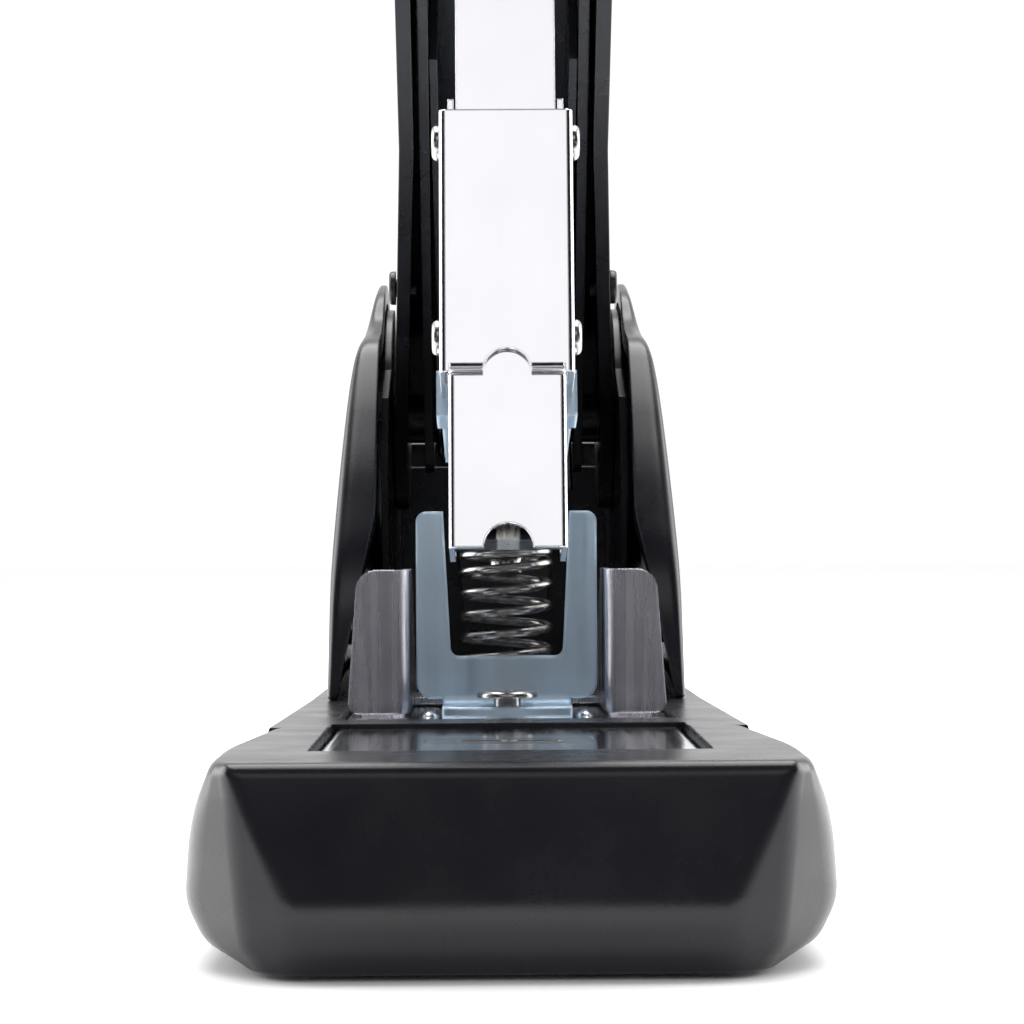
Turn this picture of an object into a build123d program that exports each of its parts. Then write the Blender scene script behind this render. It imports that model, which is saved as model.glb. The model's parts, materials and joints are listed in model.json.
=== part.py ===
from build123d import *
from math import cos, radians, tan
import os

os.makedirs("parts", exist_ok=True)

# Frame: X to the right, Y to the rear, Z up. The origin is on the table, straight below
# the place where the staple is closed. All sizes are in millimetres.

# Base
pad_height = 0.6
plate_top = 22.0
cover_top = 22.8
plate_thickness = 1.8
plate_half = 21.8
window_half = 22.0
window_front = -25.8
crossbar_front = 20.7
crossbar_rear = 29.7
cover_joint = 14.0
base_rear = 214.0
wall = 2.4

# Pivot of the magazine and the handle
pivot_y = 135.0
pivot_z = 66.0
pin_radius = 4.0
running_gap = 0.05
bracket_inner = 17.8
bracket_outer = 18.9

# Magazine, as it stands when it is pressed down: the tower is then upright
magazine_tilt = 9.2
tower_bottom = 22.4
tower_top = 74.8
tower_half = 6.9
sheath_half = 7.93
sheath_bottom = 43.0
sheet = 0.7
channel_floor = 33.0
channel_top = 58.0
channel_rear = 128.0
yoke_half = 8.0
yoke_wing_half = 8.6
notch_radius = 2.85

# Driver, at the top of its travel
driver_half = 5.95
blade_bottom = 53.2
blade_front = -0.6
blade_thickness = 1.4
cross_pin_radius = 2.5
cross_pin_y = 4.5

# Handle, drawn level and then lifted about the pivot
handle_tilt = 33.0
lever_half_height = 9.0
lever_sheet = 1.4
handle_tip = -100.0
pressed_tilt = handle_tilt - magazine_tilt - 12.0
cross_pin_z = pivot_z + (pivot_y - cross_pin_y) * tan(radians(handle_tilt - magazine_tilt))

# Return spring
spring_y = 59.5
spring_wire = 1.25
spring_radius = 5.85
spring_pitch = 3.75
spring_height = 23.0


def tilted(angle, plane):
    """The plane turned about the pivot, so that what is drawn on it is lifted by the angle."""
    to_pivot = Location((0, pivot_y, pivot_z))
    return Plane(to_pivot * Location((0, 0, 0), (-angle, 0, 0)) * to_pivot.inverse() * plane.location)


def raised(plane):
    """A plane of the pressed-down magazine, in its place with the magazine up."""
    return tilted(magazine_tilt, plane)


def lifted(plane):
    """A plane of the level handle, in its place with the handle up."""
    return tilted(handle_tilt, plane)


def crosswise(y):
    """The plane across the object at y. Its X and Y are the object's X and Z, and it faces front."""
    return Plane.XZ.offset(-y)


def both_sides(points):
    """The points of a right-hand outline, followed by their mirror images."""
    return points + [(-x, height) for x, height in reversed(points)]


def save(piece, name):
    """Label the finished piece and write its STEP file."""
    piece.part.label = name
    export_step(piece.part, f"parts/{name}.step")


# Places on the underside
front_pad = (0, -8, 40, 36)
rear_pad = (0, 186, 36, 24)
pad_radius = 4.0
pad_thickness = 1.6
screw_places = [(-24.2, -4), (24.2, -4), (-24.2, 160), (24.2, 160)]
bottom_outline = [(20, -37.6), (24.2, -34), (25.1, -28), (25.9, -14), (27.3, 12), (26.9, 75), (26.0, 194),
                  (19.2, 210)]
screw_head = 2.0
screw_shaft = 1.1
boss_radius = 2.2

# ---- front_cover: the plastic nose, a faceted body with the anvil window in its top ----
# Each level holds the front corner, the side corner, the widest point and the joint.
nose_levels = {
    pad_height: [(23.2, -41.0), (27.2, -37.4), (28.6, -14.0), (30.0, cover_joint)],
    3.4: [(23.1, -43.2), (32.4, -34.6), (32.8, -13.0), (32.6, cover_joint)],
    7.0: [(22.9, -45.0), (35.2, -31.5), (35.3, -12.0), (34.0, cover_joint)],
    16.5: [(27.2, -44.0), (33.8, -36.5), (34.0, -14.0), (31.6, cover_joint)],
    cover_top: [(29.4, -43.4), (30.7, -41.6), (31.6, -20.0), (29.4, cover_joint)],
}
with BuildPart() as front_cover:
    for level, outline in nose_levels.items():
        with BuildSketch(Plane.XY.offset(level)):
            Polygon(*both_sides(outline))
    loft(ruled=True)
    front_corners = front_cover.edges().filter_by(
        lambda e: e.center().Y < -41.5 and 20 < abs(e.center().X) < 30 and abs(e.tangent_at(0.5).Z) > 0.3
    )
    fillet(front_corners, radius=2.0)
    top_rim = front_cover.edges().group_by(Axis.Z)[-1].filter_by(lambda e: e.center().Y < cover_joint - 1)
    fillet(top_rim, radius=1.0)
    for level, outline in nose_levels.items():
        with BuildSketch(Plane.XY.offset(min(level, cover_top - wall) - (0.01 if level == pad_height else 0))):
            Polygon(*both_sides(outline))
            offset(amount=-wall, kind=Kind.INTERSECTION)
    loft(ruled=True, mode=Mode.SUBTRACT)
    with BuildSketch(Plane.XY):
        with Locations((0, cover_joint - 22.1)):
            Rectangle(2 * window_half, 44.2)
    extrude(amount=plate_top, mode=Mode.SUBTRACT)
    with BuildSketch(Plane.XY.offset(plate_top)):
        with Locations((0, (window_front + cover_joint) / 2)):
            Rectangle(2 * window_half, cover_joint - window_front)
    extrude(amount=5, mode=Mode.SUBTRACT)
    with BuildSketch(Plane.XY.offset(pad_height)):
        with Locations((0, cover_joint)):
            Rectangle(56, 2 * wall)
    extrude(amount=cover_top - wall - pad_height, mode=Mode.SUBTRACT)
    with BuildSketch(Plane.XY.offset(pad_height + wall)):
        with Locations(*screw_places[:2]):
            Circle(boss_radius)
            Circle(screw_shaft, mode=Mode.SUBTRACT)
    extrude(amount=cover_top - 1.5 * wall - pad_height)
save(front_cover, "front_cover")


# ---- base_cover: the plastic skirt behind the nose, with the crossbar behind the window ----
skirt_sections = {
    cover_joint: [(30.0, pad_height), (32.6, 3.4), (34.0, 7.0), (31.6, 16.5), (29.4, cover_top)],
    75.0: [(28.9, pad_height), (30.6, 3.4), (31.6, 7.0), (30.2, 16.5), (28.1, cover_top)],
    196.0: [(28.3, pad_height), (29.4, 3.4), (30.2, 7.0), (29.0, 16.5), (27.2, cover_top)],
    base_rear: [(21.8, pad_height), (23.2, 3.4), (24.0, 7.0), (23.0, 16.5), (21.5, cover_top)],
}
with BuildPart() as base_cover:
    for y, outline in skirt_sections.items():
        with BuildSketch(crosswise(y)):
            Polygon(*both_sides(outline))
    loft(ruled=True)
    for y, outline in skirt_sections.items():
        with BuildSketch(crosswise(min(y, base_rear - wall))):
            Polygon(*both_sides(outline))
            offset(amount=-wall, kind=Kind.INTERSECTION)
    loft(ruled=True, mode=Mode.SUBTRACT)
    with BuildSketch(Plane.XY):
        Rectangle(2 * window_half, 208, align=(Align.CENTER, Align.MIN))
    extrude(amount=plate_top, mode=Mode.SUBTRACT)
    with BuildSketch(Plane.XY.offset(plate_top)):
        Rectangle(2 * window_half, crossbar_front, align=(Align.CENTER, Align.MIN))
        with Locations((0, crossbar_rear)):
            Rectangle(2 * window_half, 208 - crossbar_rear, align=(Align.CENTER, Align.MIN))
    extrude(amount=5, mode=Mode.SUBTRACT)
    with BuildSketch(Plane.XY):
        with Locations((0, cover_joint)):
            Rectangle(2 * window_half + 3, 190, align=(Align.CENTER, Align.MIN))
    extrude(amount=cover_top - wall, mode=Mode.SUBTRACT)
    with BuildSketch(Plane.XY):
        Polygon(*both_sides(bottom_outline))
        offset(amount=0.05, kind=Kind.INTERSECTION)
    extrude(amount=pad_height + wall, mode=Mode.SUBTRACT)
    with BuildSketch(Plane.XY.offset(pad_height + wall)):
        with Locations(*screw_places[2:]):
            Circle(boss_radius)
    extrude(amount=cover_top - 1.5 * wall - pad_height)
    with BuildSketch(Plane.XY):
        with Locations(*screw_places[2:]):
            Circle(screw_shaft)
    extrude(amount=12, mode=Mode.SUBTRACT)
save(base_cover, "base_cover")

# ---- bottom_cover: closes the underside, with pockets for the pads ----
with BuildPart() as bottom_cover:
    with BuildSketch(Plane.XY.offset(pad_height)):
        Polygon(*both_sides(bottom_outline))
    extrude(amount=wall)
    with BuildSketch(Plane.XY.offset(pad_height)):
        for x, y, width, length in (front_pad, rear_pad):
            with Locations((x, y)):
                RectangleRounded(width + 0.2, length + 0.2, pad_radius + 0.1)
    extrude(amount=pad_thickness - pad_height, mode=Mode.SUBTRACT)
    with BuildSketch(Plane.XY.offset(pad_height)):
        with Locations(*screw_places):
            Circle(screw_head + 0.05)
    extrude(amount=1.0, mode=Mode.SUBTRACT)
    with BuildSketch(Plane.XY):
        with Locations(*screw_places):
            Circle(screw_shaft + 0.05)
    extrude(amount=5, mode=Mode.SUBTRACT)
save(bottom_cover, "bottom_cover")

with BuildPart() as anti_slip_pads:
    with BuildSketch(Plane.XY):
        for x, y, width, length in (front_pad, rear_pad):
            with Locations((x, y)):
                RectangleRounded(width, length, pad_radius)
    extrude(amount=pad_thickness)
    chamfer(anti_slip_pads.edges().group_by(Axis.Z)[0], length=0.3)
save(anti_slip_pads, "anti_slip_pads")

with BuildPart() as bottom_screws:
    with BuildSketch(Plane.XY.offset(pad_height + 0.2)):
        with Locations(*screw_places):
            Circle(screw_head)
    extrude(amount=0.8)
    with BuildSketch(Plane.XY.offset(pad_height + 0.2)):
        with Locations(*screw_places):
            Circle(screw_shaft)
    extrude(amount=8)
    with BuildSketch(Plane.XY.offset(pad_height + 0.2)):
        with Locations(*screw_places):
            Rectangle(2.4, 0.6)
            Rectangle(0.6, 2.4)
    extrude(amount=0.5, mode=Mode.SUBTRACT)
save(bottom_screws, "bottom_screws")

# ---- base_plate: folded steel channel that carries everything ----
rivet_y = 46.0
stop_slot_half = 17.3
with BuildPart() as base_plate:
    with BuildSketch(crosswise(-29.8)):
        with Locations((0, plate_top)):
            Rectangle(2 * plate_half, 13, align=(Align.CENTER, Align.MAX))
        with Locations((0, plate_top - plate_thickness)):
            Rectangle(2 * (plate_half - plate_thickness), 13, align=(Align.CENTER, Align.MAX),
                      mode=Mode.SUBTRACT)
    extrude(amount=-235)
    fold = base_plate.edges().filter_by(Axis.Y).group_by(Axis.Z)[-1]
    fillet(fold, radius=1.0)
    with BuildSketch(Plane.XY.offset(10)):
        Rectangle(20.1, 10.1)
        with Locations((0, rivet_y)):
            Circle(1.5)
        for side in (-1, 1):
            with Locations((side * stop_slot_half, 60)):
                Rectangle(2.4, 37, align=(Align.CENTER, Align.MIN))
    extrude(amount=20, mode=Mode.SUBTRACT)
    with Locations((-10.4, 47, plate_top - 0.5), (10.4, 47, plate_top - 0.5)):
        Sphere(1.4)
save(base_plate, "base_plate")

# ---- anvil: hardened insert with the two clinch grooves ----
with BuildPart() as anvil:
    with BuildSketch(Plane.XY.offset(plate_top - plate_thickness)):
        RectangleRounded(20, 10, 0.6)
    extrude(amount=plate_thickness)
    with BuildSketch(Plane.XY.offset(plate_top - plate_thickness)):
        Rectangle(24, 14)
    extrude(amount=-1.6)
    with BuildSketch(Plane.XY.offset(plate_top)):
        with Locations((-3.2, 0), (3.2, 0)):
            SlotOverall(6.0, 1.6)
    extrude(amount=-0.7, mode=Mode.SUBTRACT)
save(anvil, "anvil")

# ---- spring_bracket: zinc-plated sheet folded into a foot and a U-shaped guard ----
bracket_front = 51.0
bracket_sheet = 1.5
bracket_half = 12.3
bracket_top = 49.7
foot_half = 8.7
bracket_rear = bracket_front + bracket_sheet
foot_top = plate_top + bracket_sheet
with BuildPart() as spring_bracket:
    with BuildSketch(crosswise(bracket_front)) as guard:
        Polygon(*both_sides([(bracket_half, 24.2), (bracket_half, bracket_top)]))
        fillet(guard.vertices().group_by(Axis.Y)[0], radius=2.2)
        fillet(guard.vertices().group_by(Axis.Y)[-1], radius=1.4)
        Polygon(*both_sides([(7.6, 30.0), (8.66, bracket_top + 1)]), mode=Mode.SUBTRACT)
    extrude(amount=-bracket_sheet)
    inside_corners = spring_bracket.edges().filter_by(Axis.Y).filter_by(
        lambda e: abs(e.center().Z - 30) < 0.1 and abs(e.center().X) < 8
    )
    fillet(inside_corners, radius=1.2)
    with BuildSketch(Plane.YZ) as fold_profile:
        Polygon((42.4, plate_top), (bracket_rear, plate_top), (bracket_rear, 26.5), (bracket_front, 26.5),
                (bracket_front, foot_top), (42.4, foot_top))
        fillet(fold_profile.vertices().sort_by_distance((bracket_rear, plate_top))[0], radius=2.6)
        fillet(fold_profile.vertices().sort_by_distance((bracket_front, foot_top))[0], radius=1.1)
    extrude(amount=foot_half, both=True)
    with BuildSketch(Plane.XY.offset(plate_top)):
        with Locations((0, 42.4)):
            Rectangle(24, 6, align=(Align.CENTER, Align.MIN))
        with Locations((0, 42.6 + 21)):
            Circle(21, mode=Mode.SUBTRACT)
    extrude(amount=bracket_sheet, mode=Mode.SUBTRACT)
    with BuildSketch(Plane.XY.offset(plate_top)):
        with Locations((0, rivet_y)):
            Circle(1.95)
    extrude(amount=bracket_sheet, mode=Mode.SUBTRACT)
save(spring_bracket, "spring_bracket")

with BuildPart() as bracket_rivet:
    with Locations((0, rivet_y, plate_top)):
        Cylinder(1.9, 2.8, align=(Align.CENTER, Align.CENTER, Align.MIN))
    with Locations((0, rivet_y, plate_top - 3.0)):
        Cylinder(1.45, 3.0, align=(Align.CENTER, Align.CENTER, Align.MIN))
    with Locations((0, rivet_y, plate_top + 2.7)):
        Cylinder(4.1, 0.85, align=(Align.CENTER, Align.CENTER, Align.MIN))
    fillet(bracket_rivet.edges().group_by(Axis.Z)[-1], radius=0.6)
    with BuildSketch(Plane.XY.offset(plate_top + 3.55)):
        with Locations((0, rivet_y)):
            Circle(1.3)
    extrude(amount=-0.4, mode=Mode.SUBTRACT)
save(bracket_rivet, "bracket_rivet")

with BuildPart() as spring_seat:
    with Locations((0, spring_y, plate_top)):
        Cylinder(4.9, 3.2, align=(Align.CENTER, Align.CENTER, Align.MIN))
    fillet(spring_seat.edges().group_by(Axis.Z)[-1], radius=0.8)
    with Locations((0, spring_y, plate_top)):
        Cylinder(1.6, 4, align=(Align.CENTER, Align.CENTER, Align.MIN), mode=Mode.SUBTRACT)
save(spring_seat, "spring_seat")

coil_bottom = plate_top + spring_wire / 2 + 0.02
with BuildPart() as return_spring:
    with BuildLine() as coil:
        Helix(spring_pitch, spring_height - spring_wire, spring_radius, center=(0, spring_y, coil_bottom))
    with BuildSketch(Plane(coil.line @ 0, z_dir=coil.line % 0)):
        Circle(spring_wire / 2)
    sweep(is_frenet=True)
save(return_spring, "return_spring")

# ---- pivot_bracket: black steel walls on each side of the magazine and handle ----
with BuildPart() as pivot_bracket:
    with BuildSketch(Plane.YZ) as wall_profile:
        with BuildLine():
            Polyline((113, plate_top), (105, 40), (98, 56), (104, 68), (117, 73))
            ThreePointArc((117, 73), (pivot_y, pivot_z + 18), (153, 73))
            Polyline((153, 73), (165, 56), (165, plate_top), (113, plate_top))
        make_face()
    extrude(amount=bracket_outer, both=True)
    with BuildSketch(Plane.YZ):
        with Locations((90, plate_top + 1.5)):
            Rectangle(73, 80, align=(Align.MIN, Align.MIN))
    extrude(amount=bracket_inner, both=True, mode=Mode.SUBTRACT)
    with BuildSketch(crosswise(166)):
        with Locations((0, 62)):
            Rectangle(2 * bracket_inner, 40, align=(Align.CENTER, Align.MIN))
    extrude(amount=4, mode=Mode.SUBTRACT)
    with Locations(Location((0, pivot_y, pivot_z), (0, 90, 0))):
        Cylinder(pin_radius + running_gap, 60, mode=Mode.SUBTRACT)
save(pivot_bracket, "pivot_bracket")

with BuildPart() as pivot_pin:
    with Locations(Location((0, pivot_y, pivot_z), (0, 90, 0))):
        Cylinder(pin_radius, 2 * bracket_outer + 1.6)
    chamfer(pivot_pin.edges().filter_by(GeomType.CIRCLE), length=0.5)
save(pivot_pin, "pivot_pin")

with BuildPart() as pivot_spacers:
    for side in (1, -1):
        with Locations(Location((side * 9.85, pivot_y, pivot_z), (0, 90, 0))):
            Cylinder(5.4, 2.5)
            Cylinder(pin_radius + 0.02, 3, mode=Mode.SUBTRACT)
save(pivot_spacers, "pivot_spacers")

# ---- side shells: black plastic covers on each side of the pivot ----
shell_screw_spots = [(104, 31), (192, 31)]
ear_radius = 23.0
cap_seat = 22.9
cap_radius = 7.5
shell_front = 74.0
shell_outline = [(shell_front, cover_top), (75.5, 41), (84, 56), (93, 69), (100, 76.5), (116, 79.8)]
shell_back = [(152, 82), (203, 42), (211, 34), (base_rear - 1, cover_top)]
shell_side = [(26, cover_top - 1), (25.4, 41), (24.4, 57), (23.2, 71), (21.7, 79.5), (20.8, 85.5), (20.0, 91)]
for side, name in ((1, "right"), (-1, "left")):
    with BuildPart() as side_shell:
        with BuildSketch(Plane.YZ.offset(side * (bracket_outer + 0.1))) as shell_profile:
            with BuildLine():
                Polyline(*shell_outline)
                ThreePointArc(shell_outline[-1], (pivot_y, pivot_z + ear_radius), shell_back[0])
                Polyline(*shell_back, shell_outline[0])
            make_face()
            blends = shell_profile.vertices().filter_by(lambda v: v.Y > cover_top + 1)
            fillet(blends, radius=4.0)
        extrude(amount=side * 8)
        with BuildSketch(crosswise(60)):
            with BuildLine():
                Spline(*[(side * x, z) for x, z in shell_side])
                Polyline((side * shell_side[-1][0], shell_side[-1][1]), (side * 18.5, 91),
                         (side * 18.5, cover_top - 1), (side * shell_side[0][0], shell_side[0][1]))
            make_face()
        extrude(amount=-160, mode=Mode.INTERSECT)
        outer_rim = side_shell.edges().filter_by(
            lambda e: abs(e.center().X) > bracket_outer + 0.5 and e.center().Z > cover_top + 1
            and abs(e.tangent_at(0.5).X) < 0.6)
        fillet(outer_rim, radius=2.0)
        with BuildSketch(Plane.YZ.offset(side * (bracket_outer - 1))):
            Polygon((76.6, cover_top), (78, 40), (86.4, 55), (95, 67.6), (101, 73.6), (118, 74.6), (152, 76),
                    (200.6, 39.4), (208, 33), (210, cover_top))
        extrude(amount=side * 2.9, mode=Mode.SUBTRACT)
        with BuildSketch(crosswise(60)):
            Polygon(*[(side * x, z) for x, z in [
                (19, cover_top - 1), (23.6, cover_top - 1), (23.4, 40), (22.2, 55), (21.0, 66), (19, 70)]])
        extrude(amount=-24, mode=Mode.SUBTRACT)
        with BuildSketch(crosswise(80)):
            Polygon(*[(side * x, z) for x, z in [
                (19, cover_top - 1), (23.6, cover_top - 1), (23.0, 41), (22.2, 52), (20.4, 56), (19, 56)]])
        extrude(amount=-120, mode=Mode.SUBTRACT)
        with BuildSketch(Plane.YZ.offset(side * (bracket_outer - 1))):
            with Locations((pivot_y, pivot_z)):
                Circle(pin_radius + 0.5)
        extrude(amount=side * 10, mode=Mode.SUBTRACT)
        with BuildSketch(Plane.YZ.offset(side * cap_seat)):
            with Locations((pivot_y, pivot_z)):
                Circle(cap_radius + 0.1)
        extrude(amount=side * 10, mode=Mode.SUBTRACT)
        with BuildSketch(Plane.YZ.offset(side * (bracket_outer - 1))):
            with Locations(*shell_screw_spots):
                Circle(1.2)
        extrude(amount=side * 10, mode=Mode.SUBTRACT)
    save(side_shell, f"side_shell_{name}")

with BuildPart() as pivot_caps:
    for side in (1, -1):
        with BuildSketch(Plane.YZ.offset(side * cap_seat)):
            with Locations((pivot_y, pivot_z)):
                Circle(cap_radius)
        extrude(amount=side * 1.5)
        with BuildSketch(Plane.YZ.offset(side * cap_seat)):
            with Locations((pivot_y, pivot_z)):
                Circle(pin_radius + 0.4)
        extrude(amount=side * -1.5)
    cap_rims = pivot_caps.edges().filter_by(GeomType.CIRCLE).filter_by(
        lambda e: e.radius > cap_radius - 0.1 and abs(e.center().X) > cap_seat + 1)
    fillet(cap_rims, radius=1.0)
save(pivot_caps, "pivot_caps")

with BuildPart() as shell_screws:
    for side in (1, -1):
        with BuildSketch(Plane.YZ.offset(side * 21)):
            with Locations(*shell_screw_spots):
                Circle(1.18)
        extrude(amount=side * 5.1)
        with BuildSketch(Plane.YZ.offset(side * 26.0)):
            with Locations(*shell_screw_spots):
                Circle(2.4)
        extrude(amount=side * 0.9)
    fillet(shell_screws.edges().filter_by(GeomType.CIRCLE).filter_by(
        lambda e: e.radius > 2 and abs(e.center().X) > 26.5), radius=0.6)
save(shell_screws, "shell_screws")

# ---- rear_cover: closes the back between the shells ----
with BuildPart() as rear_cover:
    with BuildSketch(Plane.YZ):
        Polygon((170, 63), (172.5, 65.4), (203, 41), (210, 33), (211.5, cover_top), (208.5, cover_top),
                (207, 32), (201, 39))
    extrude(amount=bracket_outer, both=True)
save(rear_cover, "rear_cover")

# ---- paper_stop: sheet with two upright flanges, sliding on the base plate ----
stop_front = 48.0
stop_sheet = 1.0
stop_top = 41.8
stop_foot = plate_top + 0.35
with BuildPart() as paper_stop:
    for side in (1, -1):
        with BuildSketch(Plane.XY.offset(stop_foot)) as stop_plan:
            Polygon(*[(side * x, y) for x, y in [
                (13.2, stop_front), (21.8, stop_front), (21.8, stop_front + stop_sheet),
                (13.2 + stop_sheet, stop_front + stop_sheet), (13.2 + stop_sheet, 86), (13.2, 86)]])
            fillet(stop_plan.vertices().sort_by_distance((side * 13.2, stop_front))[0], radius=1.9)
            fillet(stop_plan.vertices().sort_by_distance((side * 14.2, stop_front + stop_sheet))[0], radius=0.9)
        extrude(amount=stop_top - stop_foot)
    with BuildSketch(crosswise(stop_front - 1)) as stop_outline:
        for side in (1, -1):
            Polygon(*[(side * x, z) for x, z in [
                (12, stop_foot), (21.6, stop_foot), (20.2, stop_top), (12, stop_top)]])
        outer_corners = stop_outline.vertices().filter_by(lambda v: abs(v.X) > 15)
        fillet(outer_corners.group_by(Axis.Y)[-1], radius=2.8)
        outer_corners = stop_outline.vertices().filter_by(lambda v: v.Y < stop_foot + 0.1 and abs(v.X) > 15)
        fillet(outer_corners, radius=1.4)
    extrude(amount=-60, mode=Mode.INTERSECT)
    with BuildSketch(Plane.YZ):
        Polygon((62, stop_top + 1), (90, stop_top + 1), (90, 26), (84, 26))
    extrude(amount=30, both=True, mode=Mode.SUBTRACT)
    with BuildSketch(Plane.XY.offset(stop_foot)):
        for side in (1, -1):
            with Locations((side * 16.7, 73)):
                Rectangle(7, 26)
        with Locations((0, 79)):
            Rectangle(2 * 13.8, 14)
    extrude(amount=stop_sheet)
    with BuildSketch(Plane.XY.offset(stop_foot)):
        for side in (1, -1):
            with Locations((side * stop_slot_half, 66)):
                Rectangle(1.0, 8)
    extrude(amount=-3.5)
save(paper_stop, "paper_stop")

# ---- front_plate: the inner front of the tower, folded back along both sides ----
front_plate_y = -1.9
sheath_y = -2.9
blade_room = 1.2
flange_rear = 9.0
rivet_spots = [(2.2, 72.2), (2.2, 48.2)]
with BuildPart() as front_plate:
    with BuildSketch(raised(Plane.XY.offset(tower_bottom))) as tower_plan:
        with Locations((0, front_plate_y)):
            Rectangle(2 * tower_half, flange_rear - front_plate_y, align=(Align.CENTER, Align.MIN))
        fillet(tower_plan.vertices().group_by(Axis.Y)[0], radius=0.8)
        with Locations((0, front_plate_y + blade_room)):
            Rectangle(2 * (tower_half - sheet), 20, align=(Align.CENTER, Align.MIN), mode=Mode.SUBTRACT)
    extrude(amount=tower_top + 2.0 - tower_bottom)
    with BuildSketch(raised(crosswise(front_plate_y - 1))):
        with Locations((0, tower_top - 1.5)):
            Rectangle(20, 10, align=(Align.CENTER, Align.MIN))
        with Locations((0, tower_bottom)):
            Circle(notch_radius)
    extrude(amount=-(blade_room + 1.1), mode=Mode.SUBTRACT)
    with BuildSketch(raised(Plane.YZ)):
        with Locations(*rivet_spots):
            Circle(1.3)
    extrude(amount=20, both=True, mode=Mode.SUBTRACT)
save(front_plate, "front_plate")

# ---- tower_sheath: outer sleeve with a half-round notch over a rolled lower lip ----
sheath_rear = 11.8
sheath_inner = 7.0
with BuildPart() as tower_sheath:
    with BuildSketch(raised(Plane.XY.offset(sheath_bottom))) as sheath_plan:
        with Locations((0, sheath_y)):
            Rectangle(2 * sheath_half, sheath_rear - sheath_y, align=(Align.CENTER, Align.MIN))
        fillet(sheath_plan.vertices().group_by(Axis.Y)[0], radius=0.9)
        with Locations((0, sheath_y + 0.9)):
            Rectangle(2 * sheath_inner, 20, align=(Align.CENTER, Align.MIN), mode=Mode.SUBTRACT)
    extrude(amount=tower_top - sheath_bottom)
    with BuildSketch(raised(Plane.YZ)):
        with Locations((sheath_y + 0.1, sheath_bottom + 0.45)):
            Circle(0.5)
    extrude(amount=sheath_half - 1.2, both=True)
    with BuildSketch(raised(crosswise(sheath_y - 2))):
        with Locations((0, sheath_bottom - 0.1)):
            Circle(notch_radius)
    extrude(amount=-3.5, mode=Mode.SUBTRACT)
    with BuildSketch(raised(Plane.YZ)):
        with Locations(*rivet_spots):
            Circle(1.3)
    extrude(amount=20, both=True, mode=Mode.SUBTRACT)
save(tower_sheath, "tower_sheath")

# ---- tower_rivets: two domed rivets on each side of the tower ----
with BuildPart() as tower_rivets:
    for side in (1, -1):
        with BuildSketch(raised(Plane.YZ.offset(side * (tower_half - sheet)))):
            with Locations(*rivet_spots):
                Circle(1.28)
        extrude(amount=side * (sheath_half - tower_half + sheet + 0.2))
        with BuildSketch(raised(Plane.YZ.offset(side * sheath_half))):
            with Locations(*rivet_spots):
                Circle(2.15)
        extrude(amount=side * 0.95)
    rivet_rims = tower_rivets.edges().filter_by(GeomType.CIRCLE).filter_by(
        lambda e: e.radius > 2 and abs(e.center().X) > sheath_half + 0.5)
    fillet(rivet_rims, radius=0.8)
save(tower_rivets, "tower_rivets")

# ---- magazine_channel: folded channel that guides the staples ----
with BuildPart() as magazine_channel:
    with BuildSketch(raised(crosswise(flange_rear + 0.1))):
        with Locations((0, channel_floor)):
            Rectangle(2 * tower_half, channel_top - channel_floor, align=(Align.CENTER, Align.MIN))
        with Locations((0, channel_floor + sheet)):
            Rectangle(2 * (tower_half - sheet), 40, align=(Align.CENTER, Align.MIN), mode=Mode.SUBTRACT)
    extrude(amount=-(channel_rear - flange_rear - 0.1))
    long_edges = magazine_channel.edges().filter_by(
        lambda e: e.length > 100 and abs(e.center().X) > tower_half - 0.05)
    fillet(long_edges.sort_by(Axis.Z)[:2], radius=0.6)
save(magazine_channel, "magazine_channel")

# ---- leg_guide: ribbed block behind the blade at the foot of the tower ----
with BuildPart() as leg_guide:
    with BuildSketch(raised(Plane.XY.offset(tower_bottom + 1.4))):
        with Locations((0, 1.1)):
            Rectangle(2 * (tower_half - sheet), 7.7, align=(Align.CENTER, Align.MIN))
        with Locations(*[(0.9 * step, 1.1) for step in range(-3, 4)]):
            Rectangle(0.35, 0.5, mode=Mode.SUBTRACT)
    extrude(amount=9.5)
save(leg_guide, "leg_guide")

# ---- staple_rail and staple_strip ----
rail_half = 5.2
crown_top = 52.2
wire = 0.7
leg_bottom = 35.2
staple_half = 5.95
strip_front = 1.1
strip_rear = 62.0
with BuildPart() as staple_rail:
    with BuildSketch(raised(crosswise(strip_front))):
        with Locations((0, channel_floor + sheet)):
            Rectangle(2 * rail_half, crown_top - wire - 0.05 - channel_floor - sheet,
                      align=(Align.CENTER, Align.MIN))
            Rectangle(2 * (rail_half - 0.9), crown_top - wire - 1.0 - channel_floor - sheet,
                      align=(Align.CENTER, Align.MIN), mode=Mode.SUBTRACT)
    extrude(amount=-(121.8 - strip_front))
save(staple_rail, "staple_rail")

with BuildPart() as staple_strip:
    with BuildSketch(raised(crosswise(strip_front))) as staple_outline:
        with Locations((0, leg_bottom)):
            Rectangle(2 * staple_half, crown_top - leg_bottom, align=(Align.CENTER, Align.MIN))
        fillet(staple_outline.vertices().group_by(Axis.Y)[-1], radius=0.6)
        with Locations((0, leg_bottom - 1)):
            Rectangle(2 * (staple_half - wire), crown_top - wire + 1 - leg_bottom,
                      align=(Align.CENTER, Align.MIN), mode=Mode.SUBTRACT)
    extrude(amount=-(strip_rear - strip_front))
save(staple_strip, "staple_strip")

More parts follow.
